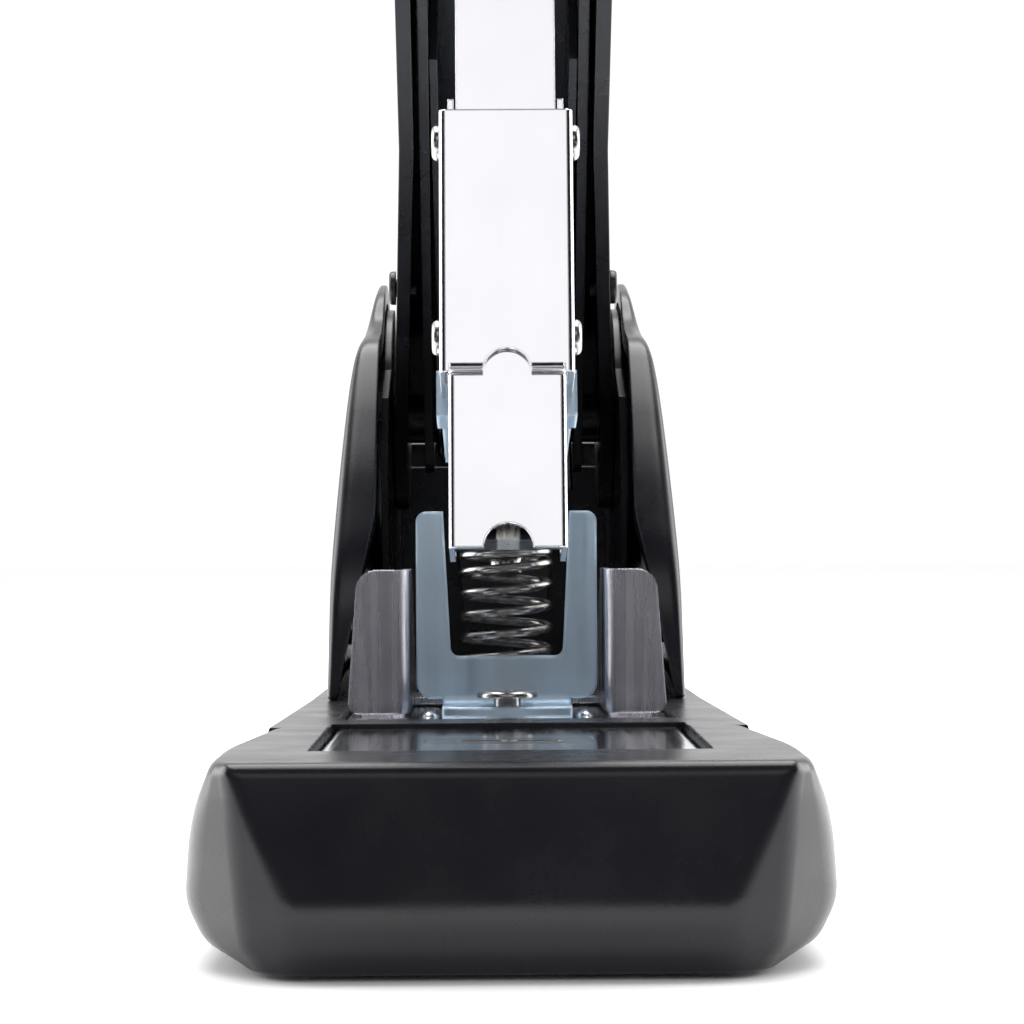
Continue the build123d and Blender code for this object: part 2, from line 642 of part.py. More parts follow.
# ---- magazine_yoke: zinc-plated inverted channel that hangs on the pivot ----
yoke_sheet = 0.9
yoke_top = 62.0
rod_z = 55.2
with BuildPart() as magazine_yoke:
    with BuildSketch(raised(Plane.YZ)) as yoke_side:
        with BuildLine():
            Polyline((12.6, 41), (43, 41), (45.5, 51.5), (60, 52.5), (78, 42), (112, 42), (126, 52),
                     (139.5, 57.5))
            ThreePointArc((139.5, 57.5), (pivot_y + 9.6, pivot_z), (pivot_y, pivot_z + 9.6))
            Polyline((pivot_y, pivot_z + 9.6), (124, 71), (118, yoke_top), (14.6, yoke_top), (12.6, 60),
                     (12.6, 41))
        make_face()
    extrude(amount=yoke_half, both=True)
    with BuildSketch(raised(crosswise(12.6))):
        with Locations((0, 41)):
            Rectangle(2 * yoke_wing_half, 5.6, align=(Align.CENTER, Align.MIN))
    extrude(amount=-8)
    with BuildSketch(raised(crosswise(12.6 + yoke_sheet))):
        with Locations((0, 30)):
            Rectangle(2 * (yoke_half - yoke_sheet), yoke_top - yoke_sheet - 30, align=(Align.CENTER, Align.MIN))
    extrude(amount=-160, mode=Mode.SUBTRACT)
    with BuildSketch(raised(crosswise(118.2))):
        with Locations((0, 30)):
            Rectangle(2 * (yoke_half - yoke_sheet), 70, align=(Align.CENTER, Align.MIN))
    extrude(amount=-60, mode=Mode.SUBTRACT)
    with BuildSketch(raised(crosswise(10))):
        Rectangle(2 * tower_half + 0.4, channel_top + 0.3, align=(Align.CENTER, Align.MIN))
        with Locations((0, 53.4)):
            Rectangle(11.6, 5, align=(Align.CENTER, Align.MIN), mode=Mode.SUBTRACT)
        with Locations((0, rod_z)):
            Circle(1.0)
    extrude(amount=-6, mode=Mode.SUBTRACT)
    fillet(magazine_yoke.edges().filter_by(lambda e: e.length > 100 and abs(e.center().X) > yoke_half - 0.05),
           radius=1.0)
    with BuildSketch(raised(Plane.YZ)):
        with Locations((pivot_y, pivot_z)):
            Circle(pin_radius + running_gap)
    extrude(amount=30, both=True, mode=Mode.SUBTRACT)
save(magazine_yoke, "magazine_yoke")

# ---- pusher with its rod and spring ----
pusher_rear = strip_rear + 10.0
with BuildPart() as pusher_rod:
    with BuildSketch(raised(crosswise(12.0))):
        with Locations((0, rod_z)):
            Circle(1.0)
    extrude(amount=-114)
save(pusher_rod, "pusher_rod")

with BuildPart() as pusher:
    with BuildSketch(raised(crosswise(strip_rear + 0.05))):
        with Locations((0, 37)):
            Rectangle(2 * staple_half, 57.6 - 37, align=(Align.CENTER, Align.MIN))
        with Locations((0, 30)):
            Rectangle(2 * (rail_half + 0.12), crown_top - wire + 0.1 - 30, align=(Align.CENTER, Align.MIN),
                      mode=Mode.SUBTRACT)
        with Locations((0, rod_z)):
            Circle(1.08, mode=Mode.SUBTRACT)
    extrude(amount=-10)
save(pusher, "pusher")

with BuildPart() as pusher_spring:
    coil_start = raised(crosswise(pusher_rear + 0.6)).from_local_coords((0, rod_z, 0))
    coil_way = raised(crosswise(0)).z_dir * -1
    with BuildLine() as pusher_coil:
        Helix(2.6, 48, 1.85, center=coil_start, direction=coil_way)
    with BuildSketch(Plane(pusher_coil.line @ 0, z_dir=pusher_coil.line % 0)):
        Circle(0.3)
    sweep(is_frenet=True)
save(pusher_spring, "pusher_spring")

with BuildPart() as magazine_end_cap:
    with BuildSketch(raised(crosswise(122))) as cap_outline:
        with Locations((0, channel_floor + sheet)):
            Rectangle(2 * (tower_half - sheet) - 0.1, channel_top - channel_floor - sheet,
                      align=(Align.CENTER, Align.MIN))
        with Locations((0, rod_z)):
            Circle(1.0, mode=Mode.SUBTRACT)
    extrude(amount=-(channel_rear - 122))
save(magazine_end_cap, "magazine_end_cap")

# ---- spring_guide: peg under the magazine that sits inside the top of the return spring ----
with BuildPart() as spring_guide:
    with BuildSketch(raised(Plane.XY.offset(channel_floor))):
        with Locations((0, spring_y + 2.3)):
            Circle(2.2)
    extrude(amount=-4.0)
save(spring_guide, "spring_guide")

# ---- driver: blade, carrier, cross pin and countersunk screws ----
blade_top = 101.4
carrier_bottom = 84.2
carrier_rear = 8.8
screw_heights = (92.2, 98.4)
blade_rear = blade_front + blade_thickness
with BuildPart() as driver_blade:
    with BuildSketch(raised(crosswise(blade_front))):
        with Locations((0, blade_bottom)):
            Rectangle(2 * driver_half, blade_top - blade_bottom, align=(Align.CENTER, Align.MIN))
    extrude(amount=-blade_thickness)
    for height in screw_heights:
        with BuildSketch(raised(crosswise(blade_front))):
            with Locations((0, height)):
                Circle(2.9)
        with BuildSketch(raised(crosswise(blade_rear + 0.01))):
            with Locations((0, height)):
                Circle(1.65)
        loft(mode=Mode.SUBTRACT)
save(driver_blade, "driver_blade")

with BuildPart() as driver_carrier:
    with BuildSketch(raised(Plane.XY.offset(carrier_bottom))) as carrier_plan:
        with Locations((0, blade_rear)):
            Rectangle(2 * driver_half, carrier_rear - blade_rear, align=(Align.CENTER, Align.MIN))
        with Locations((0, blade_rear + 1.5)):
            Rectangle(2 * (driver_half - 1.4), 20, align=(Align.CENTER, Align.MIN), mode=Mode.SUBTRACT)
    extrude(amount=cross_pin_z + 6 - carrier_bottom)
    with BuildSketch(raised(crosswise(blade_rear))):
        with Locations(*[(0, height) for height in screw_heights]):
            Circle(1.6)
    extrude(amount=-4, mode=Mode.SUBTRACT)
    with BuildSketch(raised(Plane.YZ)):
        with Locations((cross_pin_y, cross_pin_z)):
            Circle(cross_pin_radius)
    extrude(amount=20, both=True, mode=Mode.SUBTRACT)
save(driver_carrier, "driver_carrier")

with BuildPart() as driver_pin:
    with BuildSketch(raised(Plane.YZ)):
        with Locations((cross_pin_y, cross_pin_z)):
            Circle(cross_pin_radius)
    extrude(amount=11.4, both=True)
    chamfer(driver_pin.edges().filter_by(GeomType.CIRCLE), length=0.4)
save(driver_pin, "driver_pin")

with BuildPart() as driver_screws:
    for height in screw_heights:
        with BuildSketch(raised(crosswise(blade_front + 0.05))):
            with Locations((0, height)):
                Circle(2.8)
        with BuildSketch(raised(crosswise(blade_rear))):
            with Locations((0, height)):
                Circle(1.6)
        loft()
    with BuildSketch(raised(crosswise(blade_rear))):
        with Locations(*[(0, height) for height in screw_heights]):
            Circle(1.58)
    extrude(amount=-3)
    with BuildSketch(raised(crosswise(blade_front))):
        with Locations(*[(0, height) for height in screw_heights]):
            Rectangle(3.0, 0.6)
            Rectangle(0.6, 3.0)
    extrude(amount=-0.7, mode=Mode.SUBTRACT)
save(driver_screws, "driver_screws")

# ---- handle_lever: steel channel, open below, with slots for the driver's cross pin ----
lever_front = -30.0
lever_half_rear = 12.85
lever_half_front = 11.1
slot_gap = 1.0
pin_reach = pivot_y - cross_pin_y
pin_far = pin_reach / cos(radians(handle_tilt - magazine_tilt))
cover_screw_spots = [(30, pivot_z), (100, pivot_z)]
pin_near = pin_reach / cos(radians(pressed_tilt))
with BuildPart() as handle_lever:
    with BuildSketch(lifted(Plane.XY.offset(pivot_z - 20))):
        Polygon((lever_half_rear, 146), (lever_half_rear, pivot_y), (lever_half_front, 0),
                (lever_half_front, lever_front), (-lever_half_front, lever_front), (-lever_half_front, 0),
                (-lever_half_rear, pivot_y), (-lever_half_rear, 146))
    extrude(amount=40)
    with BuildSketch(lifted(Plane.YZ)):
        with BuildLine():
            Polyline((pivot_y, pivot_z - lever_half_height), (lever_front, pivot_z - lever_half_height),
                     (lever_front, pivot_z + 10.4), (pivot_y, pivot_z + 10.4))
            Line((pivot_y, pivot_z + 10.4), (pivot_y, pivot_z + lever_half_height))
            ThreePointArc((pivot_y, pivot_z + lever_half_height), (pivot_y + lever_half_height, pivot_z),
                          (pivot_y, pivot_z - lever_half_height))
        make_face()
    extrude(amount=30, both=True, mode=Mode.INTERSECT)
    with BuildSketch(lifted(Plane.XY.offset(pivot_z - 20))):
        Polygon((lever_half_rear - lever_sheet, 150), (lever_half_rear - lever_sheet, pivot_y),
                (lever_half_front - lever_sheet, 0), (lever_half_front - lever_sheet, lever_front - 1),
                (lever_sheet - lever_half_front, lever_front - 1), (lever_sheet - lever_half_front, 0),
                (lever_sheet - lever_half_rear, pivot_y), (lever_sheet - lever_half_rear, 150))
    extrude(amount=20 + lever_half_height, mode=Mode.SUBTRACT)
    with BuildSketch(lifted(Plane.XY.offset(pivot_z))):
        with Locations((0, 118)):
            Rectangle(40, 40, align=(Align.CENTER, Align.MIN))
        Rectangle(2 * (lever_half_front - lever_sheet), 400, mode=Mode.INTERSECT)
    extrude(amount=12, mode=Mode.SUBTRACT)
    with BuildSketch(lifted(Plane.YZ)):
        with Locations((pivot_y - (pin_far + pin_near) / 2, pivot_z)):
            SlotOverall(pin_far - pin_near + 2 * cross_pin_radius + 2 * slot_gap,
                        2 * (cross_pin_radius + slot_gap))
        with Locations((pivot_y, pivot_z)):
            Circle(pin_radius + running_gap)
        with Locations(*cover_screw_spots):
            Circle(1.4)
    extrude(amount=30, both=True, mode=Mode.SUBTRACT)
save(handle_lever, "handle_lever")

# ---- lever_liner: zinc-plated channel that stiffens the lever ----
with BuildPart() as lever_liner:
    with BuildSketch(lifted(crosswise(39))):
        with Locations((0, pivot_z - 8.6)):
            Rectangle(20.2, 17.3, align=(Align.CENTER, Align.MIN))
            Rectangle(18.0, 16.1, align=(Align.CENTER, Align.MIN), mode=Mode.SUBTRACT)
    extrude(amount=-73)
save(lever_liner, "lever_liner")

# ---- handle_grip: soft pad let into the top of the cover ----
with BuildPart() as handle_grip:
    with BuildSketch(lifted(Plane.XY.offset(pivot_z + 8))) as grip_plan:
        with Locations((0, -52)):
            RectangleRounded(20, 74, 7)
    extrude(amount=12)
    with BuildSketch(lifted(Plane.YZ)):
        with BuildLine():
            Spline((handle_tip - 2, pivot_z + 8.6), (-50, pivot_z + 14.3), (20, pivot_z + 17.9))
            Polyline((20, pivot_z + 17.9), (20, pivot_z + 16.3), (-50, pivot_z + 12.9))
            Polyline((-50, pivot_z + 12.9), (handle_tip - 2, pivot_z + 6.9), (handle_tip - 2, pivot_z + 8.6))
        make_face()
    extrude(amount=20, both=True, mode=Mode.INTERSECT)
save(handle_grip, "handle_grip")

# ---- handle_cover: long black plastic cover, open below ----
cover_half_rear = 17.6
cover_half_mid = 14.6
cover_half_front = 14.1
cover_wall = 2.0
cover_mid = 54.0
with BuildPart() as cover_space:
    with BuildSketch(lifted(Plane.YZ)):
        Polygon((160, pivot_z + 4), (143, pivot_z + 10.9), (120, pivot_z + 12.8), (90, pivot_z + 14.6),
                (20, pivot_z + 14.2), (-50, pivot_z + 10.7), (handle_tip + 8, pivot_z + 4.6),
                (handle_tip + 8, pivot_z - 30), (160, pivot_z - 30))
    extrude(amount=20, both=True)
    with BuildSketch(lifted(Plane.XY.offset(pivot_z - 40))):
        Polygon(*both_sides([
            (cover_half_rear - cover_wall, 170), (cover_half_rear - cover_wall, 128),
            (cover_half_mid - cover_wall, cover_mid), (cover_half_front - cover_wall, 10),
            (cover_half_front - cover_wall, handle_tip + 12)]))
    extrude(amount=80, mode=Mode.INTERSECT)
with BuildPart() as handle_cover:
    with BuildSketch(lifted(Plane.YZ)) as cover_profile:
        with BuildLine():
            ThreePointArc((pivot_y, pivot_z + 15), (pivot_y + 15, pivot_z), (pivot_y, pivot_z - 15))
            Polyline((pivot_y, pivot_z - 15), (96, pivot_z - 12.5), (40, pivot_z - 11.5), (-60, pivot_z - 9),
                     (handle_tip + 8, pivot_z - 6))
            ThreePointArc((handle_tip + 8, pivot_z - 6), (handle_tip, pivot_z + 1),
                          (handle_tip + 7, pivot_z + 8))
            Spline((handle_tip + 7, pivot_z + 8), (-50, pivot_z + 13.5), (20, pivot_z + 17),
                   (90, pivot_z + 17.5), (pivot_y, pivot_z + 15))
        make_face()
    extrude(amount=20, both=True)
    with BuildSketch(lifted(Plane.XY.offset(pivot_z - 40))) as cover_plan:
        Polygon(*both_sides([
            (cover_half_rear, 170), (cover_half_rear, 128), (cover_half_mid, cover_mid),
            (cover_half_front, 10), (cover_half_front, handle_tip)]))
        fillet(cover_plan.vertices().group_by(Axis.Y)[0], radius=9)
    extrude(amount=80, mode=Mode.INTERSECT)
    add(cover_space.part, mode=Mode.SUBTRACT)
    add(handle_grip.part, mode=Mode.SUBTRACT)
    with BuildSketch(lifted(Plane.YZ)):
        with Locations((pivot_y, pivot_z)):
            Circle(pin_radius + running_gap)
        with Locations(*cover_screw_spots):
            Circle(1.4)
    extrude(amount=30, both=True, mode=Mode.SUBTRACT)
save(handle_cover, "handle_cover")

with BuildPart() as cover_screws:
    for side in (1, -1):
        for spot, cover_half in zip(cover_screw_spots, (14.4, 16.55)):
            with BuildSketch(lifted(Plane.YZ.offset(side * (cover_half - 3.2)))):
                with Locations(spot):
                    Circle(1.38)
            extrude(amount=side * 3.4)
            with BuildSketch(lifted(Plane.YZ.offset(side * (cover_half + 0.1)))):
                with Locations(spot):
                    Circle(2.6)
            extrude(amount=side * 1.0)
            head_rims = cover_screws.edges(Select.LAST).filter_by(GeomType.CIRCLE).sort_by(Axis.X)
            fillet(head_rims[-1 if side > 0 else 0], radius=0.5)
save(cover_screws, "cover_screws")

# ---- handle_spring: a torsion coil on each spacer, with one leg up and one leg forward ----
with BuildPart() as handle_spring:
    for side in (1, -1):
        with BuildLine() as torsion_coil:
            Helix(1.15, 1.15 * 1.25, 6.15, center=(side * 9.0, pivot_y, pivot_z), direction=(side, 0, 0))
            Line(torsion_coil.line @ 1, torsion_coil.line @ 1 + (torsion_coil.line % 1) * 12)
        with BuildSketch(Plane(torsion_coil.line @ 0, z_dir=torsion_coil.line % 0)):
            Circle(0.5)
        sweep(is_frenet=True)
save(handle_spring, "handle_spring")
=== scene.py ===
import json
import math

import bpy
from mathutils import Matrix, Vector


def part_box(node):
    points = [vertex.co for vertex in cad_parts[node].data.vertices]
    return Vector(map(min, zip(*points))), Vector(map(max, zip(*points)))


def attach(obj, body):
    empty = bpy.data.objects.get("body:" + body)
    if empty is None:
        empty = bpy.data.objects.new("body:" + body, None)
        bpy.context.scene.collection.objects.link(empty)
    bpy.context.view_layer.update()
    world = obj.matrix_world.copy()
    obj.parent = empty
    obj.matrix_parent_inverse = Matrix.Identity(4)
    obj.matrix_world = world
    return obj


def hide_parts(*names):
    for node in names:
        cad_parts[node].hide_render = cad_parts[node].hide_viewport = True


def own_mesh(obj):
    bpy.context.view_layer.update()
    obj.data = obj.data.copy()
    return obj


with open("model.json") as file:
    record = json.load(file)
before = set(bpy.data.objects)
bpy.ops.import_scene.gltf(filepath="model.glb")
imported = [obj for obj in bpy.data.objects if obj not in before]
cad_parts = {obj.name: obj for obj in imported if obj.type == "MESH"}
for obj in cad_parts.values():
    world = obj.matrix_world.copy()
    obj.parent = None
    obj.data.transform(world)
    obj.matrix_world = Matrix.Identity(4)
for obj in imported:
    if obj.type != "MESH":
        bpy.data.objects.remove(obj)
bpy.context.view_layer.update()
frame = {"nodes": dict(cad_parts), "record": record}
nodes = frame["nodes"]
scene = bpy.context.scene
scene.view_settings.view_transform = "Standard"

MM = 0.001


# ---------------------------------------------------------------- camera
def make_camera():
    """A long-lens view from the front, almost level and a little above the table."""
    data = bpy.data.cameras.new("camera")
    data.lens = 100
    data.sensor_width = 36
    data.clip_start = 0.01
    camera = bpy.data.objects.new("camera", data)
    scene.collection.objects.link(camera)
    place = Matrix.Translation((-0.00175, -0.336, 0.0452))
    yaw = Matrix.Rotation(math.radians(-0.38), 4, "Z")
    pitch = Matrix.Rotation(math.radians(90.646), 4, "X")
    roll = Matrix.Rotation(math.radians(-0.35), 4, "Z")
    camera.matrix_world = place @ yaw @ pitch @ roll
    scene.camera = camera


# ---------------------------------------------------------------- studio
def make_world():
    """A white room. In reflections only, dark screens in front leave one bright window above the camera."""
    world = bpy.data.worlds.new("studio")
    scene.world = world
    world.use_nodes = True
    tree = world.node_tree
    tree.nodes.clear()
    output = tree.nodes.new("ShaderNodeOutputWorld")
    background = tree.nodes.new("ShaderNodeBackground")
    coords = tree.nodes.new("ShaderNodeTexCoord")
    split = tree.nodes.new("ShaderNodeSeparateXYZ")
    tree.links.new(coords.outputs["Generated"], split.inputs[0])
    front = map_range(tree, split.outputs["Y"], 0.10, -0.20, 0.0, 1.0)
    low = map_range(tree, split.outputs["Z"], 0.30, 0.20, 0.0, 1.0)
    across = math_node(tree, "ABSOLUTE", split.outputs["X"], 0.0)
    beside = map_range(tree, across, 0.32, 0.45, 0.0, 1.0)
    below = map_range(tree, split.outputs["Z"], 0.75, 0.55, 0.0, 1.0)
    beside = math_node(tree, "MULTIPLY", beside, below)
    high = map_range(tree, split.outputs["Z"], 0.50, 0.62, 0.0, 1.0)
    screens = math_node(tree, "MAXIMUM", math_node(tree, "MAXIMUM", low, high), beside)
    dark = math_node(tree, "MULTIPLY", front, screens)
    path = tree.nodes.new("ShaderNodeLightPath")
    dark = math_node(tree, "MULTIPLY", dark, path.outputs["Is Glossy Ray"])
    mix = tree.nodes.new("ShaderNodeMix")
    mix.data_type = "RGBA"
    tree.links.new(dark, mix.inputs["Factor"])
    mix.inputs["A"].default_value = (1.0, 1.0, 1.0, 1)
    mix.inputs["B"].default_value = (0.012, 0.012, 0.02, 1)
    tree.links.new(mix.outputs["Result"], background.inputs["Color"])
    background.inputs["Strength"].default_value = 1.06
    tree.links.new(background.outputs[0], output.inputs[0])


def math_node(tree, operation, a, b):
    node = tree.nodes.new("ShaderNodeMath")
    node.operation = operation
    for socket, value in zip(node.inputs, (a, b)):
        if isinstance(value, (int, float)):
            socket.default_value = value
        else:
            tree.links.new(value, socket)
    return node.outputs[0]


def map_range(tree, value, low, high, to_low, to_high):
    node = tree.nodes.new("ShaderNodeMapRange")
    node.inputs["From Min"].default_value = low
    node.inputs["From Max"].default_value = high
    node.inputs["To Min"].default_value = to_low
    node.inputs["To Max"].default_value = to_high
    tree.links.new(value, node.inputs["Value"])
    return node.outputs["Result"]


def area_light(name, place, aim, width, height, power):
    data = bpy.data.lights.new(name, "AREA")
    data.shape = "RECTANGLE"
    data.size = width
    data.size_y = height
    data.energy = power
    light = bpy.data.objects.new(name, data)
    scene.collection.objects.link(light)
    light.location = place
    light.rotation_euler = (Vector(aim) - Vector(place)).to_track_quat("-Z", "Y").to_euler()


def stage_plane(name, size, centre, colour, roughness):
    """A square of the set lying flat, in one plain paint."""
    bpy.ops.mesh.primitive_plane_add(size=size, location=centre)
    plane = bpy.context.object
    plane.name = name
    paint = bpy.data.materials.new(name + "_paint")
    paint.use_nodes = True
    shader = paint.node_tree.nodes["Principled BSDF"]
    shader.inputs["Base Color"].default_value = (*colour, 1)
    shader.inputs["Roughness"].default_value = roughness
    plane.data.materials.append(paint)
    return plane


def make_studio():
    """Soft light from above and from both sides, over a pale floor."""
    make_world()
    area_light("top_light", (0, 0.28, 1.2), (0, 0.05, 0), 1.2, 1.2, 24)
    for name, side in (("left_light", -1), ("right_light", 1)):
        area_light(name, (side * 1.0, 0.42, 0.30), (0, -0.03, 0.02), 0.8, 0.9, 8.5)
    floor = stage_plane("floor", 12, (0, 0, 0), (0.95, 0.95, 0.95), 0.6)
    # A dark cloth on the floor in front, which shows in reflections only.
    flag = stage_plane("black_flag", 2, (0, -1.09, 0.0005), (0.01, 0.01, 0.012), 0.9)
    flag.visible_camera = False
    flag.visible_diffuse = False
    flag.visible_shadow = False


make_camera()
make_studio()


# ---------------------------------------------------------------- materials
def new_material(name, metallic=0.0, ior=1.5):
    material = bpy.data.materials.new(name)
    material.use_nodes = True
    tree = material.node_tree
    shader = tree.nodes["Principled BSDF"]
    shader.inputs["Metallic"].default_value = metallic
    shader.inputs["IOR"].default_value = ior
    return material, tree, shader


def object_coords(tree, scale=(1, 1, 1)):
    coords = tree.nodes.new("ShaderNodeTexCoord")
    mapping = tree.nodes.new("ShaderNodeMapping")
    mapping.inputs["Scale"].default_value = scale
    tree.links.new(coords.outputs["Object"], mapping.inputs["Vector"])
    return mapping.outputs["Vector"]


def noise(tree, coords, scale, detail=3.0, rough=0.55):
    node = tree.nodes.new("ShaderNodeTexNoise")
    node.inputs["Scale"].default_value = scale
    node.inputs["Detail"].default_value = detail
    node.inputs["Roughness"].default_value = rough
    tree.links.new(coords, node.inputs["Vector"])
    return node.outputs["Fac"]


def colour_ramp(tree, value, dark, light, low=0.3, high=0.7):
    ramp = tree.nodes.new("ShaderNodeValToRGB")
    ramp.color_ramp.elements[0].position = low
    ramp.color_ramp.elements[0].color = (*dark, 1)
    ramp.color_ramp.elements[1].position = high
    ramp.color_ramp.elements[1].color = (*light, 1)
    tree.links.new(value, ramp.inputs["Fac"])
    return ramp.outputs["Color"]


def bump(tree, shader, height, distance, strength=0.5, edge=0.3 * MM):
    """Surface relief over edges that read as slightly rounded."""
    node = tree.nodes.new("ShaderNodeBump")
    node.inputs["Strength"].default_value = strength
    node.inputs["Distance"].default_value = distance
    tree.links.new(height, node.inputs["Height"])
    rounded_edge = tree.nodes.new("ShaderNodeBevel")
    rounded_edge.samples = 4
    rounded_edge.inputs["Radius"].default_value = edge
    tree.links.new(rounded_edge.outputs["Normal"], node.inputs["Normal"])
    tree.links.new(node.outputs["Normal"], shader.inputs["Normal"])


def moulded_plastic(name, dark, light, rough_low, rough_high, grain=0.02 * MM, rib_pitch=None):
    """Moulded plastic: fine spark texture or ribs, faint mottling and hand-polished patches."""
    material, tree, shader = new_material(name, ior=1.45)
    coords = object_coords(tree)
    patches = noise(tree, coords, 35, 4)
    tree.links.new(colour_ramp(tree, patches, dark, light), shader.inputs["Base Color"])
    rough = map_range(tree, noise(tree, coords, 90, 5), 0.3, 0.7, rough_low, rough_high)
    tree.links.new(rough, shader.inputs["Roughness"])
    if rib_pitch:
        bump(tree, shader, ribs(tree, coords, rib_pitch), RIB_HEIGHT, 1.0)
    else:
        bump(tree, shader, noise(tree, coords, 2600, 2), grain)
    return material


def ribs(tree, coords, pitch):
    """Even waves across Y. Twenty radians of phase for each unit of scale set the pitch."""
    node = tree.nodes.new("ShaderNodeTexWave")
    node.bands_direction = "Y"
    node.wave_profile = "SIN"
    node.inputs["Scale"].default_value = math.tau / 20 / pitch
    tree.links.new(coords, node.inputs["Vector"])
    return node.outputs["Fac"]


def sheet_metal(name, dark, light, rough_low, rough_high, stretch, relief, edge=0.3 * MM):
    """Plated sheet: fine rolling marks along one way, over cloudy plating."""
    material, tree, shader = new_material(name, metallic=1.0)
    lines = noise(tree, object_coords(tree, stretch), 400, 4, 0.7)
    clouds = noise(tree, object_coords(tree), 60, 4)
    mixed = math_node(tree, "MULTIPLY", clouds, 0.7)
    mixed = math_node(tree, "ADD", mixed, math_node(tree, "MULTIPLY", lines, 0.3))
    tree.links.new(colour_ramp(tree, mixed, dark, light), shader.inputs["Base Color"])
    tree.links.new(map_range(tree, lines, 0.3, 0.7, rough_low, rough_high), shader.inputs["Roughness"])
    bump(tree, shader, lines, relief, edge=edge)
    return material


def make_guide_steel():
    """The ribbed guide block: dark steel with one bright strip down its middle."""
    material, tree, shader = new_material("guide_steel", metallic=1.0)
    split = tree.nodes.new("ShaderNodeSeparateXYZ")
    tree.links.new(object_coords(tree), split.inputs[0])
    across = math_node(tree, "ABSOLUTE", split.outputs["X"], 0.0)
    grain = noise(tree, object_coords(tree, ALONG_Z), 900, 3)
    edge_place = math_node(tree, "ADD", across, math_node(tree, "MULTIPLY", grain, 0.4 * MM))
    away = map_range(tree, edge_place, 1.3 * MM, 1.7 * MM, 0.0, 1.0)
    colour = colour_ramp(tree, away, (0.80, 0.79, 0.76), (0.05, 0.05, 0.055), 0.2, 0.8)
    tree.links.new(colour, shader.inputs["Base Color"])
    tree.links.new(map_range(tree, grain, 0.3, 0.7, 0.25, 0.45), shader.inputs["Roughness"])
    bump(tree, shader, grain, 0.01 * MM)
    return material


RIB_HEIGHT = 0.3 * MM
# How the rolling marks are stretched.
ALONG_Z = (1, 1, 0.03)
ALONG_Y = (1, 0.03, 1)
EVEN = (1, 1, 1)
# Each slot's material: the darkest and lightest colour, then the smoothest and roughest finish.
SLOT_MATERIAL = {
    "black_plastic": moulded_plastic(
        "black_plastic", (0.003, 0.003, 0.005), (0.006, 0.006, 0.009), 0.22, 0.31),
    "black_handle": moulded_plastic(
        "handle_plastic", (0.003, 0.003, 0.004), (0.005, 0.005, 0.007), 0.24, 0.34),
    "black_steel": moulded_plastic(
        "coated_steel", (0.009, 0.009, 0.011), (0.015, 0.015, 0.018), 0.22, 0.34),
    "rubber": moulded_plastic(
        "rubber", (0.010, 0.010, 0.010), (0.018, 0.018, 0.018), 0.65, 0.85, grain=0.06 * MM),
    "grip_rubber": moulded_plastic(
        "grip_rubber", (0.014, 0.014, 0.015), (0.022, 0.022, 0.024), 0.6, 0.8, rib_pitch=2.5 * MM),
    "chrome": sheet_metal(
        "chrome", (0.86, 0.85, 0.89), (0.93, 0.92, 0.95), 0.05, 0.12, ALONG_Z, 0.004 * MM),
    "chrome_stop": sheet_metal(
        "stop_chrome", (0.62, 0.61, 0.68), (0.86, 0.84, 0.89), 0.20, 0.34, ALONG_Z, 0.01 * MM),
    "chrome_base": sheet_metal(
        "base_chrome", (0.72, 0.74, 0.76), (0.86, 0.88, 0.90), 0.08, 0.20, ALONG_Y, 0.01 * MM),
    "zinc": sheet_metal(
        "zinc", (0.54, 0.70, 0.86), (0.72, 0.87, 0.99), 0.34, 0.48, ALONG_Z, 0.008 * MM, edge=0.8 * MM),
    "steel": sheet_metal(
        "bright_steel", (0.42, 0.41, 0.40), (0.54, 0.53, 0.52), 0.15, 0.26, EVEN, 0.006 * MM),
    "spring_steel": sheet_metal(
        "spring_steel", (0.27, 0.26, 0.25), (0.38, 0.37, 0.35), 0.16, 0.24, EVEN, 0.002 * MM),
}
node_slot = {entry["node"]: entry["material_slot"] for entry in frame["record"]["subparts"]}
for name, obj in nodes.items():
    obj.data.materials.clear()
    obj.data.materials.append(SLOT_MATERIAL[node_slot[name]])
nodes["leg_guide"].data.materials[0] = make_guide_steel()


# ---------------------------------------------------------------- nose
# Rings of the nose from the inner lip at the foot, round the outside, to the window's edge.
# Each ring holds its height, then the end of the front, both ends of the corner's facet, a point
# on the side and the joint with the skirt. All are in millimetres.
NOSE_RINGS = [
    (6.0, (21.6, -38.6), (24.4, -36.4), (25.0, -34.8), (26.0, -14.0), (27.6, 14.0)),
    (0.6, (21.6, -38.6), (24.4, -36.4), (25.0, -34.8), (26.0, -14.0), (27.6, 14.0)),
    (0.6, (23.4, -41.4), (26.2, -39.6), (27.6, -36.8), (28.6, -14.0), (30.0, 14.0)),
    (3.2, (23.0, -43.4), (27.8, -40.9), (33.0, -33.8), (33.2, -13.0), (32.6, 14.0)),
    (7.0, (22.8, -45.0), (28.2, -42.3), (35.3, -31.5), (35.3, -12.0), (34.0, 14.0)),
    (16.5, (26.8, -44.1), (29.0, -42.9), (34.2, -36.0), (34.2, -14.0), (31.6, 14.0)),
    (22.8, (29.3, -43.4), (30.1, -42.7), (31.4, -39.6), (31.8, -20.0), (29.4, 14.0)),
    (22.8, (22.0, -25.8), (22.0, -25.4), (22.0, -24.0), (22.0, -12.0), (22.0, 14.0)),
    (20.4, (22.0, -25.8), (22.0, -25.4), (22.0, -24.0), (22.0, -12.0), (22.0, 14.0)),
]
# How far the corners between the rings, and those along each ring, are blended.
RING_BLENDS = (0.2, 0.5, 1.2, 2.2, 4.5, 1.7, 0.35)
CORNER_BLENDS = (1.2, 1.4, 4.0, 6.0)


